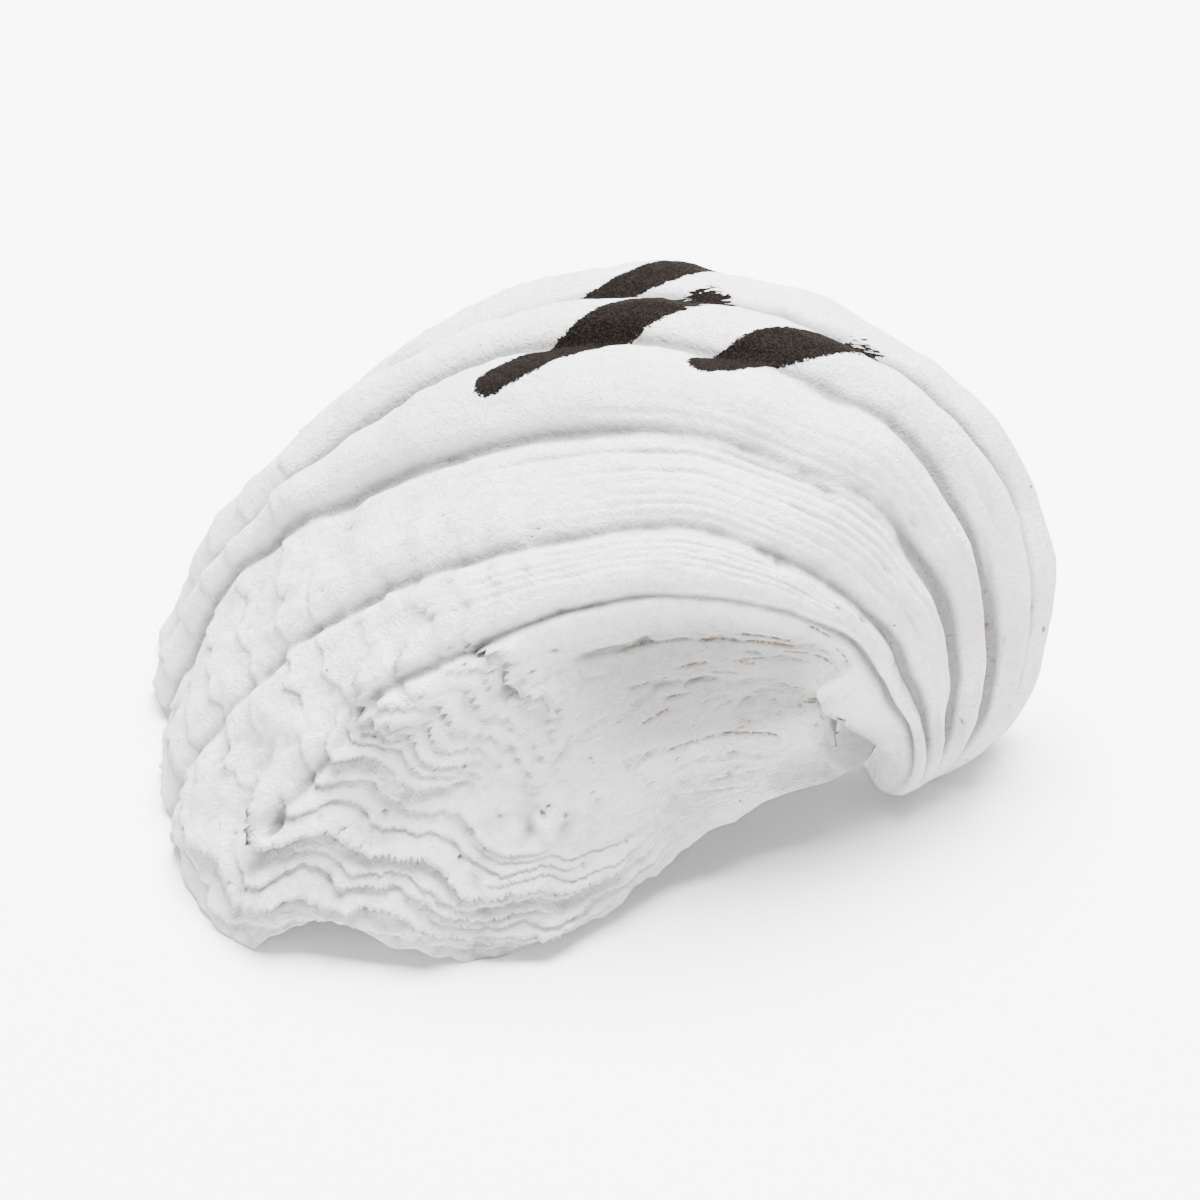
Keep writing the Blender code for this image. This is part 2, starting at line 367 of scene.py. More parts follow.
# Scattered pinholes: how many, and the places and turns between which they lie, then radius, depth and stain
PINHOLES = (
    (40, (.335, .61), (112.0, 188.0)),
    (34, (.16, .34), (1.5, 44.0)),
    (16, (.05, .26), (10.0, 100.0)),
    (22, (.34, .60), (5.0, 110.0)),
)
PINHOLE_RADIUS = (.24, .48)
PINHOLE_DEPTH = 0.5
PINHOLE_STAIN = (.5, 1.0)

# How far the worn margin stands back from the coil's own, by place
MARGIN_TRIM = (
    (.120, .2), (.140, -.5), (.150, -1.5), (.160, .0), (.170, 2.0), (.180, 3.6), (.191, 3.4), (.201, .9),
    (.211, -1.1), (.219, -.6), (.229, .3), (.240, 1.0), (.250, .7), (.260, 1.7), (.270, 2.8), (.280, 3.3),
    (.290, 2.6), (.300, 1.0), (.310, -1.0), (.320, -.5), (.340, .6), (.360, 1.5), (.380, .6), (.420, .0),
)
STEADY_MARGIN = (.130, .150, .320, .345)
RAGGED = ((0.7, 0.006, 31.0), (1.0, 0.017, 37.0))
MARGIN_LOWEST = 0.2
MARGIN_RISE = 0.4
OUTSIDE_LOWEST = 0.12
HOLLOW_LOWEST = 0.02
SCALLOP = 0.35
SCALLOP_PITCH = 0.0105
SCALLOP_BAND = (.02, .05, .17, .20)

# The notch beside the beak, in millimetres to the right, up and towards the camera from its aim: the pinched
# pit is filled, the front plate and the margin's end fall back, and the fold and beak roll over them
PIT_AT = (37.0, -19.2)
PIT_RADIUS = (5.0, 6.6)
PIT_PLANE = (19.2, -0.596, -0.608)
PIT_LAYERS = (-5.0, -1.0)
PIT_PLACES = 0.125
PIT_TURNS = 160.0
PLATE_AT = (36.5, -20.0)
PLATE_RADIUS = (10.0, 8.0)
PLATE_BACK = 7.0
PLATE_LAYERS = (-4.0, 9.0)
BEAK_TURNS = (104.0, 126.0)
ROLL_PLACES = (.06, .15, .50, .60)
ROLL_AT = (38.5, -15.0)
ROLL_RADIUS = (6.5, 5.5)
ROLL_SHIFT = (-5.2, -0.6, 4.5)
TIP_AT = (43.5, -26.0)
TIP_RADIUS = 5.5
TIP_SHIFT = (-0.3, -1.8, 0.5)
HEEL_TURNS = (219.0, 230.0)
HEEL_AT = (40.5, -23.0)
HEEL_RADIUS = 5.0
HEEL_SHIFT = (-2.8, -2.0, 0.0)

# Painted shade on the front plate, which lies recessed under the overhanging fold, partly also its greyer,
# dirtier paint: where it lies, and how grey
PLATE_PLACES = (.03, .12, .25, .30)
PLATE_TURNS = (25.0, 60.0, 100.0, 130.0)
PLATE_SHADE = 0.85

# Brush strokes of black paint on the crest, seen from above: both ends, half width at the start and the tip
STROKES = (
    ((-15.0, 8.0), (15.0, 21.0), 3.0, 4.9),
    ((-1.0, 27.0), (26.0, 37.0), 2.9, 4.3),
    ((15.0, 3.0), (37.0, 12.0), 2.7, 4.3),
)
STROKE_LOWEST = 45.0
NO_STROKE = 9.0

# Mesh of the shell: rows along the coil and columns round the margin
FINE_COLUMNS = 360
COARSE_COLUMNS = 80
FINE_FROM = 0.10
FINE_TO = 0.64
EDGE_ROWS = 84
EDGE_END = 26.0
COIL_ROWS = 108
COIL_GRADE = 0.55
HOLLOW_EDGE_ROWS = 6
HOLLOW_ROWS = 18

# Light and floor, in metres and watts: place, size and power of each light
SURROUND = 0.4
KEY_LIGHT = ((0.05, 0.34, 1.32), 1.1, 197.0)
FILL_LIGHT = ((0.10, -1.15, 0.40), 0.6, 11.0)
LIGHT_AIM = (0.0, 0.0, 0.03)
FLOOR_SIZE = 6.0
FLOOR_WHITE = 0.93
MATT = 0.9
MATT_SHINE = 0.04

# Colours, linear
WHITE_PAINT = (0.60, 0.60, 0.604)
WHITE_SHADE = (0.55, 0.55, 0.554)
WHITE_DEEP = (0.46, 0.46, 0.46)
# Grey of the painted shade in the hollows, at the ledges' feet and on the front plate
PAINTED_SHADE_GREY = (0.200, 0.197, 0.194)
BROWN = (0.16, 0.105, 0.065)
BLACK_PAINT = (0.0030, 0.0022, 0.0018)
BLACK_GRAIN = (0.012, 0.0092, 0.0075)
STREAKS = ((0.0, 0.0, -0.85), (0.12, 1.0, 1.0))

# Camera at the photo's viewing angle, in millimetres and degrees, and the point of the coil that it faces
CAMERA_AIM = np.array((0.0, 0.0, 28.0))
CAMERA_ELEVATION = 38.0
CAMERA_DISTANCE = 800.0
PICTURE_WIDTH = 173.4
SENSOR = 36.0


def smoothstep(low, high, value):
    """Soft step from 0 at low to 1 at high."""
    t = np.clip((value - low) / (high - low), 0.0, 1.0)
    return t * t * (3.0 - 2.0 * t)


def closed_spline(points, power):
    """Smooth closed curve through the points, as a function of the place 0 to 1 along it."""
    count = len(points)
    closed = np.vstack((points, points[:1]))
    knots = np.r_[0.0, np.cumsum(np.linalg.norm(np.diff(closed, axis=0), axis=1) ** power)]
    knots /= knots[-1]
    width = np.diff(knots)
    slope = np.diff(closed, axis=0) / width[:, None]
    system = np.zeros((count, count))
    target = np.zeros((count, 3))
    for i in range(count):
        system[i, i - 1] += width[i - 1]
        system[i, i] += 2.0 * (width[i - 1] + width[i])
        system[i, (i + 1) % count] += width[i]
        target[i] = 6.0 * (slope[i] - slope[i - 1])
    bend = np.linalg.solve(system, target)
    bend = np.vstack((bend, bend[:1]))

    def point_at(place):
        place = np.mod(place, 1.0)
        i = np.clip(np.searchsorted(knots, place, side="right") - 1, 0, count - 1)
        w = width[i][..., None]
        b = ((place - knots[i]) / width[i])[..., None]
        a = 1.0 - b
        return (a * closed[i] + b * closed[i + 1]
                + ((a ** 3 - a) * bend[i] + (b ** 3 - b) * bend[i + 1]) * w * w / 6.0)

    return point_at


def coiling_axis():
    """Unit vector along the line that the shell coils about."""
    swing, tilt = math.radians(AXIS_SWING), math.radians(AXIS_TILT)
    return np.array((math.sin(swing) * math.cos(tilt), math.cos(swing) * math.cos(tilt), math.sin(tilt)))


margin_at = closed_spline(MARGIN, KNOT_POWER)
AXIS = coiling_axis()


def size_at(place, turn):
    """Size of the shell's section at a turn of the coil, as a part of its size at the margin."""
    rate = GROWTH_FRONT + (GROWTH_BACK - GROWTH_FRONT) * smoothstep(BACK_FROM, BACK_TO, place)
    early = np.radians(np.maximum(turn - BEAK_FROM, 0.0))
    fullness = BEAK_FULL_FRONT + (BEAK_FULL_BACK - BEAK_FULL_FRONT) * smoothstep(*BEAK_FRONT_PLACES, place)
    return np.exp(-rate * np.radians(turn) + fullness * early ** 2)


def beak_slide(turn):
    """How far the coil has slid back and down, from the dome to the beak."""
    return smoothstep(BEAK_SLIDE_FROM, BEAK_SLIDE_TO, turn)[..., None] * BEAK_SLIDE


def turned(offset, turn):
    """The offset from the apex, turned about the coiling axis."""
    angle = np.radians(turn)[..., None]
    along = (offset @ AXIS)[..., None] * AXIS
    return (offset - along) * np.cos(angle) + np.cross(AXIS, offset) * np.sin(angle) + along


def coil_point(place, turn):
    """Point of the smooth shell, without folds or ledges."""
    return APEX + size_at(place, turn)[..., None] * turned(margin_at(place) - APEX, turn) + beak_slide(turn)


def section_middle(turn):
    """Middle of the shell's section at a turn of the coil."""
    return APEX + size_at(BACK_FROM, turn)[..., None] * turned(HOLLOW_MIDDLE - APEX, turn) + beak_slide(turn)


def outward(place, turn):
    """Unit normal of the smooth shell, out of the shell."""
    along = coil_point(place + PLACE_STEP, turn) - coil_point(place - PLACE_STEP, turn)
    up = coil_point(place, turn + TURN_STEP) - coil_point(place, turn - TURN_STEP)
    normal = np.cross(up, along)
    return normal / np.linalg.norm(normal, axis=-1, keepdims=True)


def valley_places(turn):
    """Places of the valleys at a turn of the coil."""
    paths = []
    for number, path in enumerate(VALLEYS):
        wander = VALLEY_WANDER * noise_along(turn, VALLEY_WANDER_LENGTH, number * 2.3 + 80.0)
        paths.append(np.interp(turn, VALLEY_TURNS, path) + wander)
    return paths


def fold_height(place, turn):
    """Height of the radial folds over the smooth shell, with a sharp line cut along each valley."""
    valleys = valley_places(turn)
    lean = np.interp(turn, *zip(*FOLD_LEAN))
    roundness = np.interp(turn, *zip(*FOLD_ROUND))
    height = np.zeros(np.broadcast(place, turn).shape)
    for fold, (low, high) in enumerate(zip(valleys[:-1], valleys[1:])):
        across = np.clip((place - low) / (high - low), 0.0, 1.0) ** lean
        arch = np.abs(np.sin(np.pi * across)) ** roundness * FOLD_HEIGHTS[fold]
        if fold == 0:
            arch = arch * (1.0 - smoothstep(0.0, FRONT_FOLD_ENDS, turn))
        height = height + arch
    for fold, low in enumerate(valleys[1:-1]):
        cut = np.exp(-((place - low) / np.interp(turn, *zip(*VALLEY_CUT_WIDTH))) ** 2)
        share = 1.0
        if fold >= BACK_CUT_FOLD:
            left = 1.0 - smoothstep(*LEFT_CUT_TURNS, turn) if fold <= LEFT_CUT_FOLD else 0.0
            share = np.maximum(np.maximum(smoothstep(*BACK_CUT_TURNS, turn), left), CREST_CUT)
        height = height - np.interp(turn, *zip(*VALLEY_CUT)) * cut * share
    gain = np.interp(turn, *zip(*RELIEF_GAIN))
    height = height * gain - RELIEF_SUNK * (gain - 1.0) * band(place, RELIEF_SUNK_PLACES)
    return height * size_at(place, turn) ** FOLD_SHRINK


def noise_at(points, size, seed=0.0):
    """Smooth noise from -1 to 1 at points in millimetres, with features of about the given size."""
    shift = Vector((seed, seed * 1.7, seed * 2.3))
    flat = points.reshape(-1, 3) / size
    return np.array([noise.noise(Vector(point) + shift) for point in flat]).reshape(points.shape[:-1])


def noise_along(turn, size, seed):
    """Smooth noise from -1 to 1 along the coil."""
    flat = np.ravel(turn)
    values = [noise.noise(Vector((value / size, seed, 0.5))) for value in flat]
    return np.array(values).reshape(np.shape(turn))


def band(value, edges):
    """1 between the two middle edges, 0 outside the outer ones."""
    return smoothstep(edges[0], edges[1], value) * (1.0 - smoothstep(edges[2], edges[3], value))


def ledge_relief(place, turn, uneven):
    """Height of the overlapping growth ledges, how far their lips hang down over what is below, and how near
    each point lies to a lip's foot, where painted shade goes.
    """
    zigzag = ZIGZAG * np.cos(2.0 * np.pi * (place - ZIGZAG_START) / ZIGZAG_PITCH) * band(place, ZIGZAG_BAND)
    above = MARGIN_REACH * np.radians(turn) - zigzag * smoothstep(*ZIGZAG_TURNS, turn) + uneven
    height, hang, foot = (np.zeros(above.shape) for _ in range(3))
    for start, rise, low, high in LEDGES:
        past = above - MARGIN_REACH * math.radians(start)
        part = rise * band(place, (low - LEDGE_SOFT, low + LEDGE_SOFT, high - LEDGE_SOFT, high + LEDGE_SOFT))
        if low >= LEDGE_FRONT_FROM:
            part = part * (LEDGE_FRONT - (LEDGE_FRONT - LEDGE_BACK) * smoothstep(*LEDGE_FRONT_FADE, place))
        lip = smoothstep(*LIP_EDGE, past)
        height += part * lip * np.exp(-np.maximum(past, 0.0) / LEDGE_LENGTH)
        hang += part * lip * np.exp(-np.maximum(past, 0.0) / HANG_LENGTH) * LEDGE_OVERHANG
        foot += part * np.exp(np.minimum(past, 0.0) / FOOT_LENGTH) * (1.0 - lip)
    return height, hang, foot


def sunken(place, turn, relief):
    """How deep the relief lies under its surroundings, from 0 to 1, which sets the painted shade in the
    hollows.
    """
    deep = np.zeros(relief.shape)
    order = np.argsort(place[:, 0])
    at = place[order, 0]
    around = np.concatenate((at - 1.0, at, at + 1.0))
    for k in range(relief.shape[1]):
        row = relief[order, k]
        total = np.concatenate((row, row, row))
        total = np.concatenate(((0.0,), np.cumsum(0.5 * (total[1:] + total[:-1]) * np.diff(around))))
        reach = SUNKEN_REACH / (MARGIN_LENGTH * size_at(0.4, turn[k]))
        mean = (np.interp(at + reach, around, total) - np.interp(at - reach, around, total)) / (2.0 * reach)
        deep[order, k] = mean - row
    return np.clip(deep / SUNKEN_DEPTH, 0.0, 1.0)


def rib_height(place, turn):
    """Depth of the fine grooves that run along the folds."""
    valleys = valley_places(turn)
    height = np.zeros(np.broadcast(place, turn).shape)
    for number, (fold, share, start, end, depth) in enumerate(RIBS):
        middle = valleys[fold] + share * (valleys[fold + 1] - valleys[fold])
        middle = middle + RIB_WANDER * noise_along(turn, RIB_WANDER_LENGTH, number * 3.1)
        seen = band(turn, (start - RIB_FADE, start + RIB_FADE, end - RIB_FADE, end + RIB_FADE))
        seen = seen * (RIB_SEEN[0] + RIB_SEEN[1] * noise_along(turn, RIB_SEEN_LENGTH, number * 5.3 + 40.0))
        height -= depth * seen * np.exp(-((place - middle) / np.interp(turn, *zip(*RIB_WIDTH))) ** 2)
    return height


def scattered():
    """Fine cracks along the coil on the front plate, and pinholes, at places drawn from a fixed seed."""
    draw = random.Random(SEED)
    cracks = []
    for count, places, turns, aside, along, half_widths, depths, stains in (FINE_CRACKS, GROOVES):
        for _ in range(count):
            place, turn = draw.uniform(*places), draw.uniform(*turns)
            end = (place + draw.uniform(*aside), turn + draw.uniform(*along))
            half_width, depth = draw.uniform(*half_widths), draw.uniform(*depths)
            stain = draw.choice(stains) if len(stains) > 1 else stains[0]
            cracks.append(((place, turn), end, half_width, depth, stain))
    spots = []
    for count, places, turns in PINHOLES:
        for _ in range(count):
            middle = (draw.uniform(*places), draw.uniform(*turns))
            radius, stain = draw.uniform(*PINHOLE_RADIUS), draw.uniform(*PINHOLE_STAIN)
            spots.append((middle, radius, -PINHOLE_DEPTH, stain))
    return tuple(cracks), tuple(spots)


def crack_relief(points):
    """Depth and stain of the grooves, cracks, lumps and pinholes at points of the smooth shell."""
    more_cracks, more_spots = scattered()
    height = np.zeros(points.shape[:-1])
    stain = np.zeros(points.shape[:-1])
    for first, last, half_width, depth, dark in CRACKS + more_cracks:
        share = np.linspace(0.0, 1.0, CRACK_STEPS + 1)
        path = coil_point(first[0] + share * (last[0] - first[0]), first[1] + share * (last[1] - first[1]))
        nearest = np.full(points.shape[:-1], 1e9)
        for start, end in zip(path[:-1], path[1:]):
            run = end - start
            along = np.clip((points - start) @ run / (run @ run), 0.0, 1.0)
            gap = points - start - along[..., None] * run
            nearest = np.minimum(nearest, np.einsum("...i,...i", gap, gap))
        shape = np.exp(-nearest / half_width ** 2)
        height -= depth * shape
        stain = np.maximum(stain, dark * shape)
    for (place, turn), radius, rise, dark in SPOTS + more_spots:
        gap = points - coil_point(np.array(place), np.array(turn))
        shape = np.exp(-np.einsum("...i,...i", gap, gap) / radius ** 2)
        height += rise * shape
        stain = np.maximum(stain, dark * shape)
    return height, stain


def margin_turn(place):
    """Where the margin ends along the coil: wavy, worn back in places, and finely scalloped at the gape."""
    waves = sum(height * np.sin(2.0 * np.pi * (place / pitch + start))
                for height, pitch, start in LEDGE_WAVES)
    waves = waves * (1.0 - band(place, STEADY_MARGIN))
    shift = MARGIN_WAVE * waves / LEDGE_WAVES[0][0] + np.interp(place, *zip(*MARGIN_TRIM))
    scallop = SCALLOP * np.sin(2.0 * np.pi * place / SCALLOP_PITCH) * band(place, SCALLOP_BAND)
    ragged = sum(height * noise_along(place, size, seed) for height, size, seed in RAGGED)
    turn = np.degrees((shift + scallop + ragged * (1.0 - band(place, SCALLOP_BAND))) / MARGIN_REACH)
    above = coil_point(place, turn)[..., 2]
    rise = np.maximum(coil_point(place, turn + 1.0)[..., 2] - above, MARGIN_RISE)
    return turn + np.maximum(MARGIN_LOWEST - above, 0.0) / rise


def cap_width(turn, start, end):
    """Round end of the coil or the hollow: 1 until start, then down to 0 at end."""
    t = np.clip((turn - start) / (end - start), 0.0, 1.0)
    return np.sqrt(1.0 - t * t)


def outer_surface(place, turn):
    """Points of the outside with its relief and the beak's round end, how stained each is, and how much
    painted shade it gets where it lies sunken or at a ledge's foot.
    """
    turns = turn[0]
    turn = turn + margin_turn(place) * np.exp(-turn / EDGE_TURN)
    points = coil_point(place, turn)
    lumps = noise_at(points, LUMP_SIZE)
    noises = [noise_at(points, size, seed) for size, seed, _, _ in ROUGHNESS]
    uneven = sum(bend * value for value, (_, _, _, bend) in zip(noises, ROUGHNESS))
    ledges, hang, foot = ledge_relief(place, turn, uneven)
    cracks, stain = crack_relief(points)
    front = band(place, ROUGH_FRONT_PLACES) * (1.0 - smoothstep(*ROUGH_FRONT_TURNS, turn))
    rough = 1.0 + ROUGH_FRONT * front
    rough = rough * (1.0 + ROUGH_BEAK * smoothstep(*ROUGH_BEAK_TURNS, turn))
    rough = rough * sum(height * value for value, (_, _, height, _) in zip(noises, ROUGHNESS))
    flare = FLARE * band(place, FLARE_PLACES) * (1.0 - smoothstep(*FLARE_TURNS, turn))
    relief = (fold_height(place, turn) + flare + ledges + rib_height(place, turn) + cracks
              + LUMP_HEIGHT * lumps + rough)
    cap = cap_width(turn, BEAK_CAP_FROM, COIL_END)
    down = coil_point(place, turn - TURN_STEP) - coil_point(place, turn + TURN_STEP)
    down = down / np.linalg.norm(down, axis=-1, keepdims=True)
    points = points + outward(place, turn) * (relief * cap)[..., None]
    points = points + down * (hang * smoothstep(*HANG_TURNS, turn))[..., None]
    middle = section_middle(turn)
    points = fill_pit(middle + (points - middle) * cap[..., None], place, turn)
    # Painted shade: darker paint where the relief lies sunken under its surroundings, and at the feet under
    # the ledges' lips
    shade = np.maximum(sunken(place, turns, relief), np.clip(foot, 0.0, 1.0) * FOOT_SHADE)
    beak = smoothstep(*BEAK_TURNS, turn)
    points = shape_notch(points, beak, beak * band(place, ROLL_PLACES), smoothstep(*HEEL_TURNS, turn))
    return points, stain, shade


def camera_lines():
    """Directions to the right, up and towards the camera."""
    elevation = math.radians(CAMERA_ELEVATION)
    right = np.array((1.0, 0.0, 0.0))
    look = np.array((0.0, -math.cos(elevation), math.sin(elevation)))
    return right, np.cross(look, right), look


def hill(aside, over, middle, radius):
    """Smooth hill of height 1 about a middle, with one radius or two."""
    across, along = (radius, radius) if np.isscalar(radius) else radius
    return np.exp(-((aside - middle[0]) / across) ** 2 - ((over - middle[1]) / along) ** 2)


def fill_pit(points, place, turn):
    """Brings the pinched pit beside the beak up to the level of its rim."""
    right, up, look = camera_lines()
    aside, over, near = ((points - CAMERA_AIM) @ line for line in (right, up, look))
    reach = np.hypot(aside - PIT_AT[0], over - PIT_AT[1])
    level = PIT_PLANE[0] + PIT_PLANE[1] * aside + PIT_PLANE[2] * over
    about = np.minimum(place, 1.0 - place) < PIT_PLACES
    share = (1.0 - smoothstep(*PIT_RADIUS, reach)) * smoothstep(*PIT_LAYERS, near)
    share = share * about * (turn < PIT_TURNS)
    return points + (np.maximum(level - near, 0.0) * share)[..., None] * look


def shape_notch(points, beak, roll=0.0, heel=0.0):
    """Sets the front plate back beside the beak, and rolls the nearest fold and the beak's tip over it."""
    lines = camera_lines()
    aside, over, near = ((points - CAMERA_AIM) @ line for line in lines)
    back = PLATE_BACK * hill(aside, over, PLATE_AT, PLATE_RADIUS)
    back = back * smoothstep(*PLATE_LAYERS, near) * (1.0 - beak)
    roll = hill(aside, over, ROLL_AT, ROLL_RADIUS) * roll
    tip = hill(aside, over, TIP_AT, TIP_RADIUS) * beak
    heel = hill(aside, over, HEEL_AT, HEEL_RADIUS) * heel
    shift = (roll[..., None] * np.array(ROLL_SHIFT) + tip[..., None] * np.array(TIP_SHIFT)
             + heel[..., None] * np.array(HEEL_SHIFT))
    shift[..., 2] -= back
    return points + shift @ np.array(lines)


def stroke_distance(points):
    """Distance in millimetres from the edge of the nearest brush stroke, and how near its dry tip."""
    distance = np.full(points.shape[:-1], NO_STROKE)
    dryness = np.zeros(points.shape[:-1])
    flat = points[..., :2]
    for start, end, wide, narrow in STROKES:
        start, run = np.array(start), np.array(end) - np.array(start)
        along = np.clip((flat - start) @ run / (run @ run), 0.0, 1.0)
        gap = np.linalg.norm(flat - start - along[..., None] * run, axis=-1)
        edge = gap - (wide + (narrow - wide) * along)
        nearer = edge < distance
        distance = np.where(nearer, edge, distance)
        dryness = np.where(nearer, along, dryness)
    return np.where(points[..., 2] < STROKE_LOWEST, NO_STROKE, distance), dryness


def inner_surface(place, turn):
    """Points of the hollow's smooth wall, closed at the top by a round end."""
    bent = turn + margin_turn(place) * np.exp(-turn / EDGE_TURN)
    points = coil_point(place, bent)
    middle = section_middle(bent)
    reach = points - middle
    distance = np.linalg.norm(reach, axis=-1)
    inside = WALL_INSIDE + HINGE_WALL * band(place, HINGE_PLACES)
    wall = WALL_AT_MARGIN + (inside - WALL_AT_MARGIN) * smoothstep(0.0, WALL_GROWS, bent)
    share = np.maximum(1.0 - wall / distance, LEAST_SHARE) * cap_width(bent, HOLLOW_ROUND_FROM, HOLLOW_END)
    return shape_notch(middle + reach * share[..., None], 0.0)


def columns():
    """Places round the margin, closer together where the photo shows the shell."""
    fine = np.linspace(FINE_FROM, FINE_TO, FINE_COLUMNS, endpoint=False)
    coarse = np.linspace(FINE_TO, FINE_FROM + 1.0, COARSE_COLUMNS, endpoint=False)
    return np.mod(np.concatenate((fine, coarse)), 1.0)


def rows(edge_end, end, edge_count, rest_count):
    """Turns of the coil from the margin up, close in the ledges, then at even distances as it shrinks."""
    edge = np.linspace(0.0, edge_end, edge_count, endpoint=False)
    share = np.linspace(0.0, 1.0, rest_count, endpoint=False)
    shrink = 1.0 - math.exp(-COIL_GRADE * math.radians(end - edge_end))
    return np.concatenate((edge, edge_end - np.degrees(np.log(1.0 - share * shrink)) / COIL_GRADE))


def to_frame(points, lowest):
    """From the coil's millimetres to the frame's metres, worn flat where it rests on the table."""
    placed = points - BOX_MIDDLE
    placed[..., 2] = np.maximum(placed[..., 2], lowest)
    return placed * MM


def ring_faces(first_lower, first_upper, count, flip):
    """Quads between two rings whose corners are numbered from their first ones."""
    i = np.arange(count)
    before = np.roll(i, 1)
    quads = np.stack((first_lower + i, first_lower + before, first_upper + before, first_upper + i), axis=1)
    return quads[:, ::-1] if flip else quads


def shell_object():
    """The whole valve as one closed mesh: outside, hollow, margin between them and both round ends."""
    place = columns()[:, None]
    outer_turn = rows(EDGE_END, COIL_END, EDGE_ROWS, COIL_ROWS)
    inner_turn = rows(EDGE_END, HOLLOW_END, HOLLOW_EDGE_ROWS, HOLLOW_ROWS)
    outer_points, stain, shade = outer_surface(place, outer_turn[None, :])
    stroke, dryness = stroke_distance(outer_points)
    outside = to_frame(outer_points, OUTSIDE_LOWEST)
    hollow = to_frame(inner_surface(place, inner_turn[None, :]), HOLLOW_LOWEST)
    count = len(place)
    tips = to_frame(section_middle(np.array((COIL_END, HOLLOW_END))), HOLLOW_LOWEST)
    points = np.concatenate((np.swapaxes(outside, 0, 1).reshape(-1, 3),
                             np.swapaxes(hollow, 0, 1).reshape(-1, 3), tips))
    hollow_start = count * len(outer_turn)
    quads = [ring_faces(count * k, count * (k + 1), count, False) for k in range(len(outer_turn) - 1)]
    quads += [ring_faces(hollow_start + count * k, hollow_start + count * (k + 1), count, True)
              for k in range(len(inner_turn) - 1)]
    quads.append(ring_faces(hollow_start, 0, count, False))
    faces = np.concatenate(quads).tolist()
    outer_last = count * (len(outer_turn) - 1)
    inner_last = hollow_start + count * (len(inner_turn) - 1)
    for i in range(count):
        faces.append((outer_last + i, outer_last + i - 1 if i else outer_last + count - 1, len(points) - 2))
        faces.append((inner_last + i - 1 if i else inner_last + count - 1, inner_last + i, len(points) - 1))
    data = bpy.data.meshes.new("shell_surface")
    data.from_pydata(points.tolist(), [], faces)
    data.shade_smooth()
    rest = len(points) - outside.shape[0] * outside.shape[1]
    # Painted shade on the front plate, where it lies recessed under the overhanging fold, with some greyer,
    # dirtier paint of its own there too
    plate = band(place, PLATE_PLACES) * band(outer_turn[None, :], PLATE_TURNS)
    shade = np.maximum(shade, PLATE_SHADE * plate)
    for name, values, inside in (("stain", stain, 0.0), ("shade", shade, 0.0),
                                 ("stroke", stroke, NO_STROKE), ("dryness", dryness, 0.0)):
        layer = data.attributes.new(name, "FLOAT", "POINT")
        values = np.concatenate((np.swapaxes(values, 0, 1).ravel(), np.full(rest, inside)))
        layer.data.foreach_set("value", values)
    shell = bpy.data.objects.new("shell_surface", data)
    bpy.context.scene.collection.objects.link(shell)
    return shell


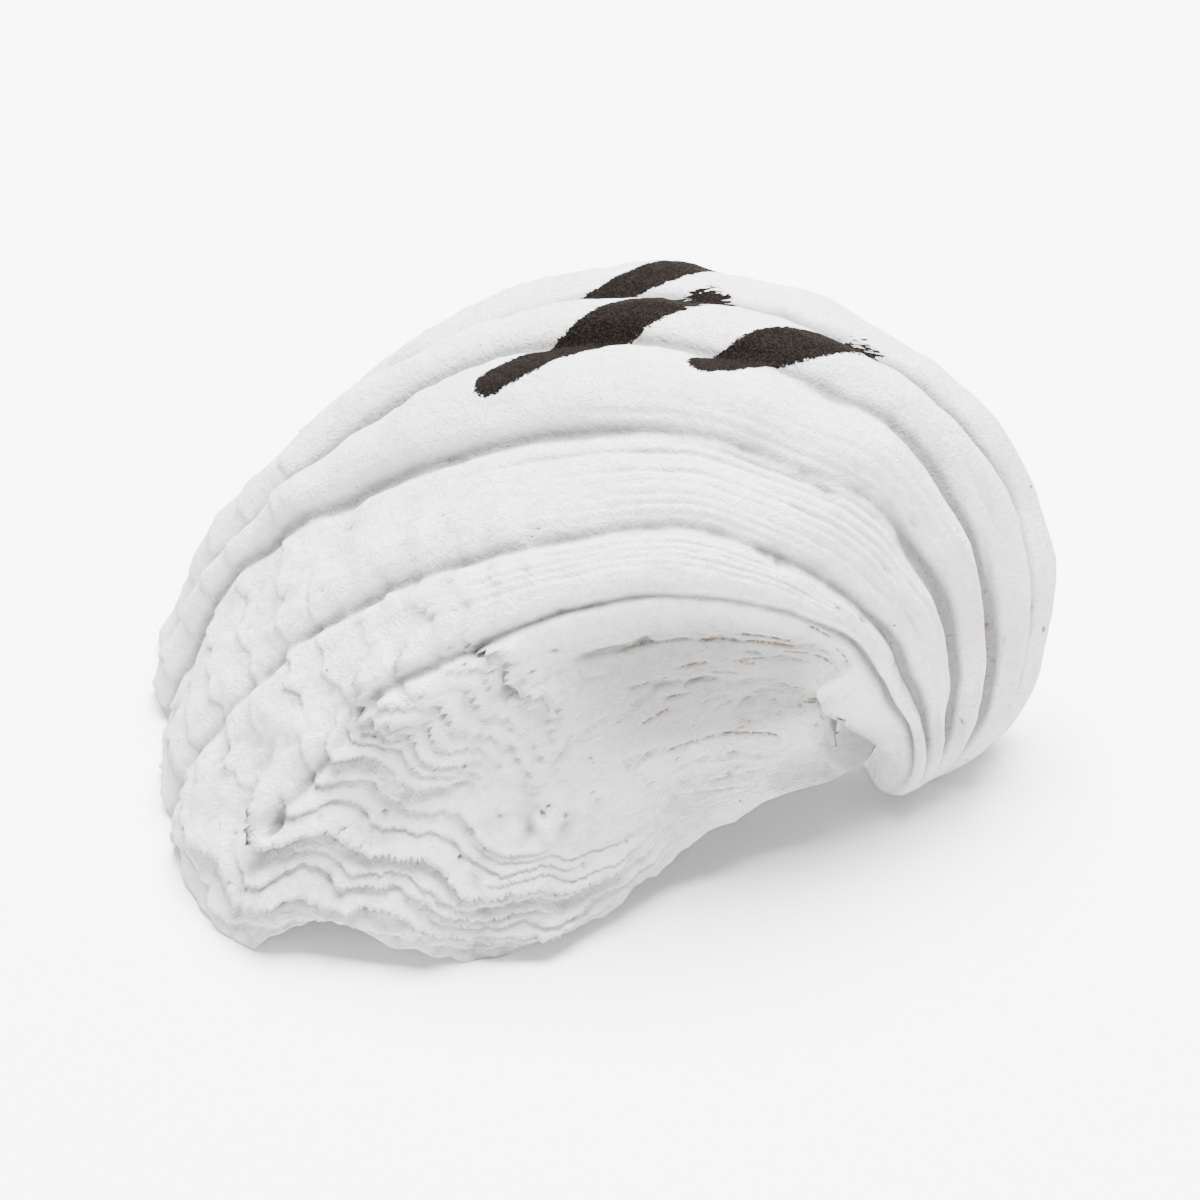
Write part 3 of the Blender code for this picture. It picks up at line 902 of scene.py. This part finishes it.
class Nodes:
    """Short ways to add and join a material's nodes."""

    def __init__(self, name):
        self.material = bpy.data.materials.new(name)
        self.material.use_nodes = True
        self.tree = self.material.node_tree
        self.surface = self.tree.nodes["Principled BSDF"]
        self.place = self.tree.nodes.new("ShaderNodeTexCoord").outputs["Object"]

    def put(self, socket, value):
        if isinstance(value, bpy.types.NodeSocket):
            self.tree.links.new(value, socket)
        else:
            socket.default_value = value

    def noise(self, size, detail=2.0, rough=0.5, twist=0.0, stretch=None):
        """Noise of about the given feature size in millimetres, from 0 to 1."""
        node = self.tree.nodes.new("ShaderNodeTexNoise")
        place = self.place
        if stretch:
            mapping = self.tree.nodes.new("ShaderNodeMapping")
            mapping.inputs["Rotation"].default_value = stretch[0]
            mapping.inputs["Scale"].default_value = stretch[1]
            self.put(mapping.inputs["Vector"], place)
            place = mapping.outputs["Vector"]
        self.put(node.inputs["Vector"], place)
        node.inputs["Scale"].default_value = 1.0 / (size * MM)
        node.inputs["Detail"].default_value = detail
        node.inputs["Roughness"].default_value = rough
        node.inputs["Distortion"].default_value = twist
        return node.outputs["Fac"]

    def maths(self, operation, first, second=0.0, third=None):
        node = self.tree.nodes.new("ShaderNodeMath")
        node.operation = operation
        self.put(node.inputs[0], first)
        self.put(node.inputs[1], second)
        if third is not None:
            self.put(node.inputs[2], third)
        return node.outputs[0]

    def ramp(self, value, low, high, to_low=0.0, to_high=1.0):
        """The value brought from low and high to to_low and to_high, and kept between them."""
        node = self.tree.nodes.new("ShaderNodeMapRange")
        node.interpolation_type = "SMOOTHSTEP"
        for socket, setting in zip(node.inputs[:5], (value, low, high, to_low, to_high)):
            self.put(socket, setting)
        return node.outputs["Result"]

    def blend(self, share, first, second):
        """Colour between two colours."""
        node = self.tree.nodes.new("ShaderNodeMix")
        node.data_type = "RGBA"
        self.put(node.inputs["Factor"], share)
        for socket, colour in ((node.inputs[6], first), (node.inputs[7], second)):
            self.put(socket, colour if isinstance(colour, bpy.types.NodeSocket) else (*colour, 1.0))
        return node.outputs[2]

    def attribute(self, name):
        node = self.tree.nodes.new("ShaderNodeAttribute")
        node.attribute_name = name
        return node.outputs["Fac"]

    def dots(self, spacing, radius, share):
        """Round dots of a radius in millimetres, in about the given share of cells of the given spacing."""
        node = self.tree.nodes.new("ShaderNodeTexVoronoi")
        node.inputs["Scale"].default_value = 1.0 / (spacing * MM)
        self.put(node.inputs["Vector"], self.place)
        split = self.tree.nodes.new("ShaderNodeSeparateColor")
        self.put(split.inputs["Color"], node.outputs["Color"])
        size = self.ramp(split.outputs["Red"], 1.0 - share, 1.0, 0.0, radius / spacing)
        return self.ramp(node.outputs["Distance"], size, self.maths("MULTIPLY", size, 0.55))

    def bump(self, height, depth, under=None):
        """Fine relief of a depth in millimetres, laid over what is under it."""
        node = self.tree.nodes.new("ShaderNodeBump")
        node.inputs["Strength"].default_value = 1.0
        node.inputs["Distance"].default_value = depth * MM
        self.put(node.inputs["Height"], height)
        if under is not None:
            self.put(node.inputs["Normal"], under)
        return node.outputs["Normal"]


def paint_material():
    """Chalky matt white paint with painted shade in its hollows, under the ledges' lips and on the front
    plate, brownish pinholes and cracks, and black brush strokes on the crest.
    """
    n = Nodes("chalk_paint")
    grain = n.noise(0.30, 3.0, 0.6)
    dabs = n.noise(1.6, 4.0, 0.62, 1.6)
    mottle = n.noise(16.0, 3.0, 0.55)
    patches = n.noise(22.0, 2.0, 0.5, 0.4)
    white = n.blend(n.ramp(mottle, 0.35, 0.65), WHITE_PAINT, WHITE_SHADE)
    white = n.blend(n.ramp(dabs, 0.30, 0.62, 0.35, 0.0), white, WHITE_DEEP)
    # Painted shade: the white turns grey where the shade attribute marks sunken hollows, ledge feet and the
    # front plate
    white = n.blend(n.attribute("shade"), white, PAINTED_SHADE_GREY)
    holes = n.dots(4.2, 0.30, 0.42)
    holes = n.maths("MULTIPLY", holes, n.ramp(patches, 0.42, 0.60, 0.10, 1.0))
    stain = n.maths("MULTIPLY", n.attribute("stain"), n.ramp(n.noise(0.9, 3.0, 0.7), 0.36, 0.58))
    deepest = n.ramp(n.attribute("shade"), 0.86, 1.0)
    grime = n.maths("MULTIPLY", n.ramp(n.noise(1.0, 3.0, 0.7), 0.60, 0.68), deepest)
    dirt = n.maths("MAXIMUM", n.maths("MAXIMUM", holes, grime), n.ramp(stain, 0.22, 0.62))
    white = n.blend(n.maths("MULTIPLY", dirt, 0.85), white, BROWN)
    ragged = n.maths("MULTIPLY_ADD", n.noise(0.8, 5.0, 0.75), 2.6, -1.3)
    streaks = n.noise(0.55, 3.0, 0.6, 0.0, STREAKS)
    dry = n.ramp(n.attribute("dryness"), 0.72, 1.0)
    gaps = n.maths("MULTIPLY", dry, n.maths("MULTIPLY_ADD", streaks, 9.0, -3.2))
    edge = n.maths("ADD", n.maths("ADD", n.attribute("stroke"), ragged), gaps)
    painted = n.ramp(edge, 0.12, -0.12)
    black = n.blend(n.ramp(grain, 0.42, 0.66), BLACK_PAINT, BLACK_GRAIN)
    n.put(n.surface.inputs["Base Color"], n.blend(painted, white, black))
    n.surface.inputs["Roughness"].default_value = MATT
    n.surface.inputs["Specular IOR Level"].default_value = MATT_SHINE
    relief = n.bump(grain, 0.10)
    relief = n.bump(dabs, 0.55, relief)
    relief = n.bump(n.maths("MULTIPLY", holes, -1.0), 0.5, relief)
    n.put(n.surface.inputs["Normal"], relief)
    return n.material


def add_floor():
    """Plain pale floor."""
    bpy.ops.mesh.primitive_plane_add(size=FLOOR_SIZE)
    floor = bpy.context.object
    floor.name = "floor"
    material = bpy.data.materials.new("floor_paper")
    material.use_nodes = True
    surface = material.node_tree.nodes["Principled BSDF"]
    surface.inputs["Base Color"].default_value = (FLOOR_WHITE, FLOOR_WHITE, FLOOR_WHITE, 1.0)
    surface.inputs["Specular IOR Level"].default_value = MATT_SHINE
    surface.inputs["Roughness"].default_value = MATT
    floor.data.materials.append(material)


def add_area_light(name, place, size, power):
    """Square soft light that faces the shell."""
    data = bpy.data.lights.new(name, "AREA")
    data.size = size
    data.energy = power
    light = bpy.data.objects.new(name, data)
    bpy.context.scene.collection.objects.link(light)
    light.location = place
    light.rotation_euler = (Vector(LIGHT_AIM) - Vector(place)).to_track_quat("-Z", "Y").to_euler()


def add_lights():
    """Soft studio light: a pale surround, a large soft light above, and a weak one in front."""
    world = bpy.data.worlds.new("studio")
    world.use_nodes = True
    world.node_tree.nodes["Background"].inputs["Color"].default_value = (1.0, 1.0, 1.0, 1.0)
    world.node_tree.nodes["Background"].inputs["Strength"].default_value = SURROUND
    bpy.context.scene.world = world
    add_area_light("key", *KEY_LIGHT)
    add_area_light("fill", *FILL_LIGHT)


def add_camera():
    """Camera at the photo's viewing angle and framing."""
    data = bpy.data.cameras.new("camera")
    data.sensor_width = SENSOR
    data.lens = SENSOR * CAMERA_DISTANCE / PICTURE_WIDTH
    data.clip_start = 0.05
    camera = bpy.data.objects.new("camera", data)
    bpy.context.scene.collection.objects.link(camera)
    aim = Vector((CAMERA_AIM - BOX_MIDDLE) * MM)
    elevation = math.radians(CAMERA_ELEVATION)
    away = Vector((0.0, -math.cos(elevation), math.sin(elevation)))
    camera.location = aim + away * CAMERA_DISTANCE * MM
    camera.rotation_euler = (-away).to_track_quat("-Z", "Y").to_euler()
    bpy.context.scene.camera = camera


shell = shell_object()
shell.data.materials.append(paint_material())
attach(shell, "root")
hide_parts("shell")
add_floor()
add_lights()
add_camera()
